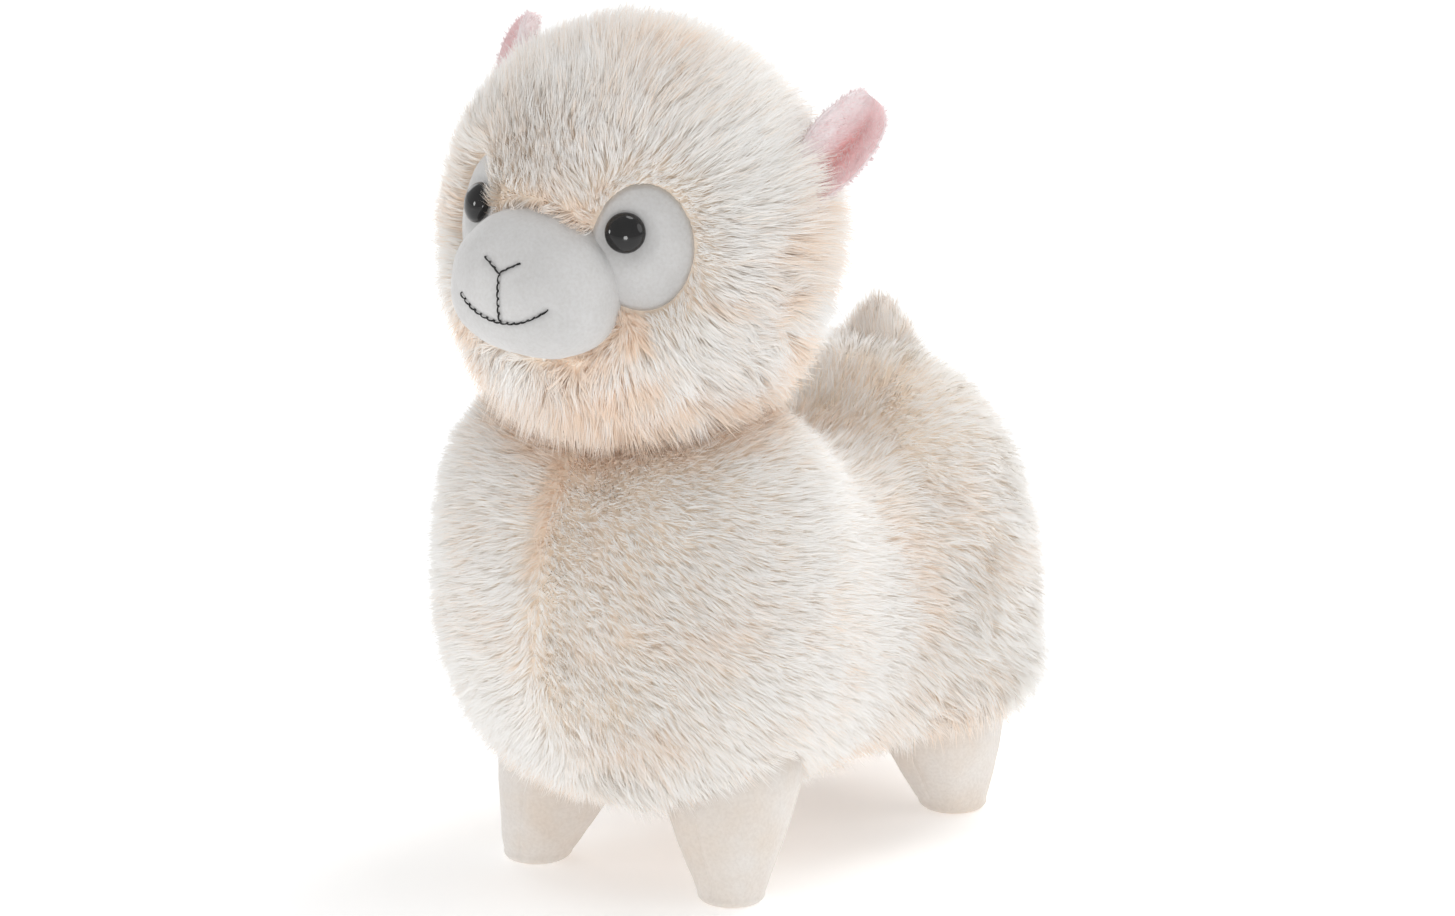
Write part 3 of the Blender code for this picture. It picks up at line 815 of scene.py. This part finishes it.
# The root's colour is darker and warmer than the tip's: painted shade deep in the pile
FUR_ROOT = (0.965, 0.895, 0.815)
FUR_MIDDLE = (0.965, 0.945, 0.91)
FUR_TIP = (0.965, 0.965, 0.96)
# The warm end of the tint: painted warm shade in folds and under parts, and tone that differs at random
FUR_WARM = (0.98, 0.81, 0.67)
EAR_DEEP = (0.88, 0.34, 0.31)
EAR_PALE = (0.88, 0.79, 0.80)


def make_materials():
    return {
        "fur": fur_material("cream pile", FUR_ROOT, FUR_MIDDLE, FUR_TIP, FUR_WARM, WHITE),
        "backing": velour_material("pile backing", (0.95, 0.84, 0.72), (0.92, 0.80, 0.67)),
        "face": velour_material("white velour", (0.63, 0.625, 0.62), (0.57, 0.565, 0.56)),
        "leg": velour_material("cream velour", (0.77, 0.73, 0.69), (0.74, 0.66, 0.585)),
        "ear": velour_material("pale ear plush", (0.93, 0.85, 0.86), (0.90, 0.78, 0.79)),
        "lining": velour_material("pink plush", (0.88, 0.63, 0.64), (0.86, 0.56, 0.57), shape=lining_shape),
        "fuzz": fur_material("ear fuzz", (0.94, 0.76, 0.77), (0.94, 0.84, 0.85), (0.95, 0.92, 0.92),
                             (0.99, 0.86, 0.86), WHITE),
        "thread": velour_material("black thread", (0.016, 0.015, 0.014), (0.008, 0.008, 0.008), 0.00015, 0.1),
        "eye": plastic_material("black eye plastic", (0.004, 0.004, 0.004), (0.009, 0.008, 0.008),
                                0.05, 300.0),
        "washer": plastic_material("white plastic", (0.72, 0.72, 0.69), (0.80, 0.80, 0.77), 0.4, 200.0),
    }


# The stage, the camera and the lights

def camera_axes():
    sin_a, cos_a = math.sin(CAMERA_AZIMUTH), math.cos(CAMERA_AZIMUTH)
    sin_e, cos_e = math.sin(CAMERA_ELEVATION), math.cos(CAMERA_ELEVATION)
    right = Vector((cos_a, sin_a, 0))
    up = Vector((-sin_a * sin_e, cos_a * sin_e, cos_e))
    towards = Vector((sin_a * cos_e, -cos_a * cos_e, sin_e))
    return right, up, towards


def make_camera():
    """A long lens at the photograph's angle, aimed so that the front feet fall on their pixel."""
    right, up, towards = camera_axes()
    across = (PHOTO_WIDTH / 2 - FEET_PIXEL[0]) * METRES_PER_PIXEL
    above = (FEET_PIXEL[1] - PHOTO_HEIGHT / 2) * METRES_PER_PIXEL
    target = Vector(FRONT_FEET) + right * across + up * above
    data = bpy.data.cameras.new("camera")
    data.sensor_width = SENSOR_WIDTH * 1000
    data.lens = data.sensor_width * (CAMERA_DISTANCE - TOY_NEARER) / (PHOTO_WIDTH * METRES_PER_PIXEL)
    camera = add_object("camera", data)
    turn = Matrix((right, up, towards)).transposed().to_4x4()
    camera.matrix_world = Matrix.Translation(target + towards * CAMERA_DISTANCE) @ turn
    bpy.context.scene.camera = camera


LIGHTS_AIM = Vector((0, 0, 0.13))
# Each light's place, width and power
LIGHTS = {
    "right and behind": ((1.3, 0.4, 0.8), 0.9, 2.5),
    "behind and above": ((0.3, 1.1, 1.1), 0.9, 6),
    "left and behind": ((-1.3, 0.7, 0.6), 0.9, 3),
    "above": ((0.2, 0.2, 1.5), 0.6, 3),
    "left": ((-0.9, -1.1, 0.4), 0.3, 2),
    "front": ((0.9, -1.4, 0.15), 0.4, 3.5),
}
WORLD_LIGHT = 0.62
# Light passes through many fibres of a white pile before it is lost
PILE_BOUNCES = 8
FLOOR_RADIUS = 30.0
FLOOR_CORNERS = 64
FLOOR_COLOUR = (0.96, 0.96, 0.96, 1.0)
# The floor is lit from below, as a photographer's light table is
FLOOR_GLOW = 0.26


def make_light(name, place, size, power):
    data = bpy.data.lights.new(name, "AREA")
    data.shape = "DISK"
    data.size = size
    data.energy = power
    light = add_object(name, data)
    turn = (LIGHTS_AIM - Vector(place)).to_track_quat("-Z", "Y")
    light.matrix_world = Matrix.Translation(place) @ turn.to_matrix().to_4x4()


def make_floor():
    material, _, shader = new_material("pale floor", 0.8)
    shader.inputs["Base Color"].default_value = FLOOR_COLOUR
    shader.inputs["Emission Color"].default_value = (*WHITE, 1.0)
    shader.inputs["Emission Strength"].default_value = FLOOR_GLOW
    turn = turns(FLOOR_CORNERS)
    ring = FLOOR_RADIUS * np.stack([np.cos(turn), np.sin(turn), np.zeros(FLOOR_CORNERS)], axis=1)
    floor = mesh_object("floor", ring, [tuple(range(FLOOR_CORNERS))], material)


def make_stage():
    scene = bpy.context.scene
    scene.world = bpy.data.worlds.new("studio")
    scene.world.use_nodes = True
    background = scene.world.node_tree.nodes["Background"]
    background.inputs["Color"].default_value = (*WHITE, 1.0)
    background.inputs["Strength"].default_value = WORLD_LIGHT
    for name, (place, size, power) in LIGHTS.items():
        make_light(name, place, size, power)
    scene.cycles.diffuse_bounces = PILE_BOUNCES
    scene.cycles.max_bounces = PILE_BOUNCES + 1
    make_floor()
    scene.view_settings.view_transform = "Standard"


def ride(piece, slot, *nodes):
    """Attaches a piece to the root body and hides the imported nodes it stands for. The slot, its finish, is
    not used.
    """
    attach(piece, "root")
    if nodes:
        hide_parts(*nodes)
    return piece


# The furry pieces

# Lengths in metres, and angles in radians from standing upright on the skin
HEAD_STYLE = dict(
    fibres_per_lock=6, fibres_per_tuft=90, length=0.0125, lean_from=0.15, lean=1.08, lean_swirl=0.16,
    swirl_size=0.020, swirl=0.24, lock_turn=0.24, fibre_turn=0.18, gather=0.32, tuft_gather=0.26,
    tuft_comb=0.6, droop=0.01, width=0.00021, strays=0.10, lock_size=0.0010, lock_round=0.15,
)
CHEST_STYLE = dict(HEAD_STYLE, length=0.0085, lean=1.10, droop=0.03, lock_turn=0.28, gather=0.28)
RUMP_STYLE = dict(CHEST_STYLE, lean=0.95, lock_turn=0.50, swirl=0.60, swirl_size=0.012, tuft_gather=0.32)
TAIL_STYLE = dict(HEAD_STYLE, lean=1.15, lean_from=0.5, gather=0.30, tuft_gather=0.45, fibres_per_tuft=700)


def make_fur(materials):
    head = head_surface()
    torso = torso_surface()
    tail = tail_surface()
    for node, surface, fill in (("head", head, 0.9), ("torso", torso, 0.9), ("tail", tail, 0.6)):
        piece = mesh_object(node + "_cover", surface.points, surface.faces, materials["backing"])
        ride(piece, "long_pile", node)

    def head_part(front):
        def keep(points, normals):
            return grows_on_head(points, normals) & ((normals[:, 1] < 0.15) == front)
        return keep

    def torso_part(low, high):
        def keep(points, normals):
            y = behind_feet(points)
            return grows_on_torso(points, normals) & (y >= low) & (y < high)
        return keep

    def above_foot(points, normals):
        return points[:, 2] > tail_low[2] + TAIL_FOOT

    # The warm rules paint warm shade into the folds, under the muzzle and at the tail's foot
    on_head = dict(surface=head, comb=head_comb, length=head_length, lie=head_lie, warmth=chin)
    on_torso = dict(surface=torso, comb=torso_comb, length=torso_length, lie=torso_lie, warmth=crease_shade)
    on_tail = dict(surface=tail, comb=tail_comb, length=full, lie=none, warmth=tail_foot_shade)
    # Each piece's name, rules, number of fibres, seed and style
    pieces = [
        ("head_fur_front", dict(on_head, keep=head_part(True)), 62000, 11, HEAD_STYLE),
        ("head_fur_back", dict(on_head, keep=head_part(False)), 38000, 12, HEAD_STYLE),
        ("chest_fur", dict(on_torso, keep=torso_part(-1, CHEST_END)), 61000, 13, CHEST_STYLE),
        ("waist_fur", dict(on_torso, keep=torso_part(CHEST_END, WAIST_END)), 44000, 14, CHEST_STYLE),
        ("rump_fur", dict(on_torso, keep=torso_part(WAIST_END, 1)), 54000, 15, RUMP_STYLE),
        ("tail_fur", dict(on_tail, keep=above_foot), 5000, 16, TAIL_STYLE),
    ]
    for name, rules, count, seed, style in pieces:
        ride(grow_fur(name, rules, count, seed, materials["fur"], style), "long_pile")


# The face

NOSE_HALF_WIDTH = 0.0067
NOSE_TOP = 0.0110
NOSE_POINT = 0.0070
SMILE_HALF_WIDTH = 0.0163
SMILE_END = -0.0025
SMILE_LOWEST = -0.0087
THREAD_RADIUS = 0.00019
# How far each of a thread's two strands is from the thread's middle
STRAND_OFFSET = 0.00013


def muzzle_front(across, up, lift=0.0):
    """Points on the front of the muzzle, across and up from its middle."""
    across, up = np.asarray(across, float), np.asarray(up, float)
    half = MUZZLE_RADII[0] * (1 - MUZZLE_TAPER * up / MUZZLE_RADII[2])
    used = np.abs(across / half) ** MUZZLE_CURVE + np.abs(up / MUZZLE_RADII[2]) ** MUZZLE_CURVE
    depth = MUZZLE_RADII[1] * (1 - used) ** (1 / MUZZLE_CURVE)
    place = np.stack([across, -depth, up], axis=-1)
    out = unit(place / MUZZLE_RADII ** 2)
    return MUZZLE_MIDDLE + place + out * np.asarray(lift)[..., None]


def sewn_lines():
    """The stitched lines of the face, each as places across and up the muzzle."""
    bend = np.linspace(0, 1, 9)
    arm_x = NOSE_HALF_WIDTH * bend
    arm_z = NOSE_POINT + (NOSE_TOP - NOSE_POINT) * bend ** 0.85
    smile = np.linspace(-1, 1, 41)
    smile_z = SMILE_LOWEST + (SMILE_END - SMILE_LOWEST) * np.abs(smile) ** 2.1
    return {
        "nose_stitching": [(-arm_x[::-1], arm_z[::-1]), (arm_x, arm_z)],
        "lip_stitching": [(np.zeros(9), np.linspace(NOSE_POINT - 0.0004, SMILE_LOWEST + 0.0005, 9))],
        "mouth_stitching": [(SMILE_HALF_WIDTH * smile, smile_z)],
    }


def make_muzzle(material):
    rows, columns = 96, 130
    place = ball(rows, columns)
    place *= np.sum(np.abs(place) ** MUZZLE_CURVE, axis=1, keepdims=True) ** (-1 / MUZZLE_CURVE)
    place[:, 0] *= 1 - MUZZLE_TAPER * place[:, 2]
    points = MUZZLE_MIDDLE + place * MUZZLE_RADII
    normals = point_normals(points, ring_quads(rows, columns), MUZZLE_MIDDLE)
    away = np.full(len(points), 1.0)
    for lines in sewn_lines().values():
        for across, up in lines:
            away = np.minimum(away, distance_to_line(points, muzzle_front(across, up)))
    # The stuffing fills the cover out between the stitched lines
    sink = 0.00024 * field(points, 0.011, 31) + 0.00008 * field(points, 0.004, 32)
    sink -= 0.00055 * np.exp(-(away / 0.0010) ** 2) + 0.00050 * np.exp(-(away / 0.0040) ** 2)
    points += normals * sink[:, None]
    piece = mesh_object("muzzle_cover", points, closed_faces(rows, columns), material)
    ride(piece, "face_velour", "muzzle")


def tubes(name, paths, radius, sides, material):
    """One piece of many short round threads."""
    points, faces = [], []
    turn = turns(sides)[:, None]
    for path in paths:
        ahead = unit(np.gradient(path, axis=0))
        aside = unit(np.cross(ahead, BACK + 0.01 * UP))
        above = np.cross(ahead, aside)
        ring = aside[:, None] * np.cos(turn) + above[:, None] * np.sin(turn)
        start = len(points) * len(path) * sides
        points.append((path[:, None] + ring * radius).reshape(-1, 3))
        faces += [tuple(start + corner for corner in face) for face in closed_faces(len(path), sides)]
    return mesh_object(name, np.concatenate(points), faces, material)


def stitch_paths(across, up, stitch=0.0025, steps=9):
    """Each stitch is two twisted strands that come out of the cloth and go back into it."""
    fine = muzzle_front(across, up)
    run = np.concatenate([[0], np.cumsum(np.linalg.norm(np.diff(fine, axis=0), axis=1))])
    count = max(int(round(run[-1] / stitch)), 1)
    share = np.linspace(0, 1, steps)
    paths = []
    for i in range(count):
        along = np.clip((i - 0.10 + 1.20 * share) / count, 0, 1) * run[-1]
        x, z = np.interp(along, run, across), np.interp(along, run, up)
        lift = -0.00105 + 0.00085 * np.sin(math.pi * share) ** 0.6
        for strand in (0, math.pi):
            twist = strand + share * 2 * math.pi * 0.6 + i
            beside, over = STRAND_OFFSET * np.cos(twist), STRAND_OFFSET * np.sin(twist)
            paths.append(muzzle_front(x + beside, z + over, lift))
    return paths


def make_stitching(material):
    for node, lines in sewn_lines().items():
        paths = [path for across, up in lines for path in stitch_paths(across, up)]
        ride(tubes(node.replace("stitching", "thread"), paths, THREAD_RADIUS, 7, material), "thread", node)


def make_patches(material):
    """White velour ovals under the pile, crowned, tucked in at the rim and pulled in round the eye."""
    rows, columns = 22, 80
    turn = turns(columns)
    for name, side in SIDES.items():
        centre, across, up = patch_axes(side)
        oval = np.outer(np.cos(turn), across * PATCH_HALF_WIDTH)
        oval += np.outer(np.sin(turn), up * PATCH_HALF_HEIGHT)
        rings = []
        for share in (np.arange(rows) + 0.5) / (rows - 0.5) * PATCH_RIM:
            way = centre + oval * share
            near_eye = np.linalg.norm(way - eye_direction(side), axis=1)
            crown = 0.0016 * (1 - share ** 2) * smooth(near_eye, 0.0055, 0.0120)
            tuck = 0.0014 * smooth(share, 0.92, PATCH_RIM)
            rings.append(cover_point(way, crown - tuck - PATCH_SINK))
        outer = np.concatenate(rings)
        inner = np.concatenate([cover_point(ring - HEAD_MIDDLE, -0.0042) for ring in reversed(rings)])
        lumps = 0.00010 * field(outer, 0.008, 41)
        outer += unit(outer - HEAD_MIDDLE) * lumps[:, None]
        points = np.concatenate([outer, inner])
        piece = mesh_object("eye_patch_cover_" + name, points, closed_faces(2 * rows, columns), material)
        ride(piece, "face_velour", "eye_patch_" + name)


def make_eyes(material):
    """Polished domes with a rounded rim."""
    columns = 56
    turn = turns(columns)
    profile = [(0.0006, 0.0003), (EYE_RADIUS * 0.93, 0.0003), (EYE_RADIUS * 0.98, 0.0005)]
    dome = np.linspace(0, math.pi / 2, 26)[:-1]
    profile += [(EYE_RADIUS * math.cos(a), EYE_RIM + EYE_DOME * math.sin(a)) for a in dome]
    for name, side in SIDES.items():
        way = unit(eye_direction(side))
        foot = cover_point(way, -PATCH_SINK)
        aside = unit(np.cross(UP, way))
        above = np.cross(way, aside)
        ring = np.outer(np.cos(turn), aside) + np.outer(np.sin(turn), above)
        points = np.concatenate([foot + way * height + ring * radius for radius, height in profile])
        piece = mesh_object("eye_dome_" + name, points, closed_faces(len(profile), columns), material)
        ride(piece, "eye_plastic", "eye_" + name)


# Ears

def ear_axes(side):
    """The soft right ear stands a little more upright than the left one, and opens more to the front."""
    along = unit(EAR_AXIS * [side, 1, 1] + UP * 0.45 * (side < 0))
    facing = EAR_OPEN_SIDE * [side, 1, 1] - BACK * 0.2 * (side < 0)
    facing = unit(facing - along * (facing @ along))
    return along, facing, np.cross(along, facing)


def ear_half_width(share):
    """The leaf's half width: narrow at its root, widest past the middle, round at its tip."""
    swell = 0.38 + 0.55 * np.sin(math.pi / 2 * np.minimum(share / 0.68, 1))
    round_tip = np.sqrt(np.maximum(1 - np.maximum((share - 0.6) / 0.4, 0) ** 2, 0))
    return EAR_HALF_WIDTH * swell * round_tip


def ear_point(side, across, share, distance):
    """A point of the cupped leaf: across from -1 to 1, share from root to tip, distance behind the seam."""
    along, facing, sideways = ear_axes(side)
    radius = ear_half_width(share) / math.sin(EAR_CUP)
    angle = across * EAR_CUP
    # The valley runs from the middle of the root towards the lower edge near the tip
    from_top = across * side
    valley = 0.0024 * np.exp(-((from_top - 0.45 * share) / 0.20) ** 2) * (1 - smooth(share, 0.55, 0.92))
    flap = 0.0012 * np.exp(-((from_top + 0.50) / 0.40) ** 2) * math.sin(math.pi * min(share / 0.95, 1))
    ripple = 0.0004 * np.sin(across * 4 + share * 9 + side) * smooth(share, 0.2, 0.6)
    place = ear_root(side) + along * EAR_LENGTH * share + facing * radius
    arm = sideways * np.sin(angle) - facing * np.cos(angle)
    return place + arm * (radius + distance + valley - flap + ripple)


def ear_layer(side, inner, outer, reach):
    """One layer between two distances from the seam surface; reach below 1 makes a narrower one."""
    rows, columns = 30, 22
    points, flat = [], []
    for share in 0.985 * np.sin(math.pi / 2 * np.arange(rows) / (rows - 1)):
        for distance, way in ((outer, 1), (inner, -1)):
            for column in range(columns + 1):
                across = way * (2 * column / columns - 1)
                round_edge = (inner - outer) * 0.35 * abs(across) ** 6 * way
                points.append(ear_point(side, across * reach, share, distance + round_edge))
                flat.append((0.5 + 0.5 * across * side, share))
    middle = ear_point(side, 0.0, 0.5, (inner + outer) / 2)
    return Surface(np.array(points), rows, 2 * (columns + 1), middle), flat


FUZZ_STYLE = dict(HEAD_STYLE, length=0.0020, lean=1.15, gather=0.2, tuft_gather=0.2, width=0.00016,
                  lock_turn=0.6, swirl_size=0.006)


def make_ears(materials):
    """A thick plush layer and a pink one sewn into it, both with a short nap."""
    def everywhere(points, normals):
        return np.ones(len(points), bool)

    def towards_tip(points, normals):
        return unit(along_surface(along + np.zeros_like(points), normals))

    for name, side in SIDES.items():
        along = ear_axes(side)[0]
        layers = [
            ("ear_plush_", -0.0004, 0.0020, 1.0, "ear", "ear_plush", "ear_back_", 5500),
            ("ear_pink_", -0.0014, 0.0016, 0.985, "lining", "ear_lining", "ear_lining_", 2500),
        ]
        for title, inner, outer, reach, material, slot, node, count in layers:
            layer, flat = ear_layer(side, inner, outer, reach)
            ear = mesh_object(title + name, layer.points, layer.faces, materials[material], flat)
            ride(ear, slot, node + name)
            rules = dict(surface=layer, keep=everywhere, comb=towards_tip, length=full, lie=none,
                         warmth=none if material == "ear" else full)
            fuzz = grow_fur(title + "nap_" + name, rules, count, 60 + side, materials["fuzz"], FUZZ_STYLE)
            ride(fuzz, slot)


# Legs

def leg_outline():
    """(radius, height) from the sole's middle to the hidden top."""
    profile = [(SOLE_RADIUS * share, 0.0) for share in (0.15, 0.5, 0.8, 1.0)]
    for angle in np.linspace(0, math.pi / 2, 9)[1:]:
        profile.append((SOLE_RADIUS + SOLE_EDGE * math.sin(angle), SOLE_EDGE * (1 - math.cos(angle))))
    foot = SOLE_RADIUS + SOLE_EDGE
    for share in np.linspace(0, 1, 30)[1:]:
        radius = foot + (LEG_RADIUS - foot) * share + 0.0007 * math.sin(math.pi * share)
        profile.append((radius, SOLE_EDGE + (LEG_WIDEST_Z - SOLE_EDGE) * share))
    for angle in np.linspace(0, math.pi / 2, 10)[1:-1]:
        height = LEG_WIDEST_Z + (LEG_TOP_Z - LEG_WIDEST_Z) * math.sin(angle)
        profile.append((LEG_RADIUS * math.cos(angle), height))
    return profile


def make_legs(material):
    """Stubby velour legs with a seam down the front and back, and one round the sole."""
    columns = 88
    # Points are closest together along the two seams
    turn = turns(columns) + 0.35 * np.sin(2 * turns(columns))
    ring = np.stack([np.cos(turn), np.sin(turn), np.zeros(columns)], axis=1)
    radius, height = np.array(leg_outline()).T
    faces = closed_faces(len(radius), columns)
    out = np.tile(ring, (len(radius), 1))
    radius, height = np.repeat(radius, columns), np.repeat(height, columns)
    turn = np.tile(turn, len(radius) // columns)
    seam = np.minimum(np.abs(turn - math.pi / 2), np.abs(turn - 3 * math.pi / 2)) * radius
    pucker = 0.75 + 0.25 * np.sin(height * 2 * math.pi / 0.0026)
    groove = 0.00050 * pucker * np.exp(-(seam / 0.0007) ** 2) + 0.0005 * np.exp(-(seam / 0.0040) ** 2)
    groove *= smooth(height, 0.0005, 0.0060)
    groove += 0.00025 * np.exp(-((height - SOLE_EDGE * 0.8) / 0.0006) ** 2)
    share = np.minimum(height / LEG_WIDEST_Z, 1)
    for end, lean in LEANS.items():
        for name, side in SIDES.items():
            sole = SOLES[f"sole_{end}_{name}"]
            middle = sole + share[:, None] * [-side * lean[0], lean[1], 0] + height[:, None] * UP
            points = middle + out * radius[:, None]
            lumps = 0.00030 * field(points, 0.012, 51) + 0.00008 * field(points, 0.004, 52)
            points += out * (lumps * smooth(height, 0.001, 0.008) - groove)[:, None]
            piece = mesh_object(f"leg_cover_{end}_{name}", points, faces, material)
            ride(piece, "leg_velour", f"leg_{end}_{name}")


def finish_washers(material):
    for name in SIDES:
        washer = frame["nodes"]["eye_washer_" + name]
        washer.data.materials.clear()
        washer.data.materials.append(material)


def main():
    make_camera()
    make_stage()
    materials = make_materials()
    make_fur(materials)
    make_muzzle(materials["face"])
    make_stitching(materials["thread"])
    make_patches(materials["face"])
    make_eyes(materials["eye"])
    make_ears(materials)
    make_legs(materials["leg"])
    finish_washers(materials["washer"])


main()
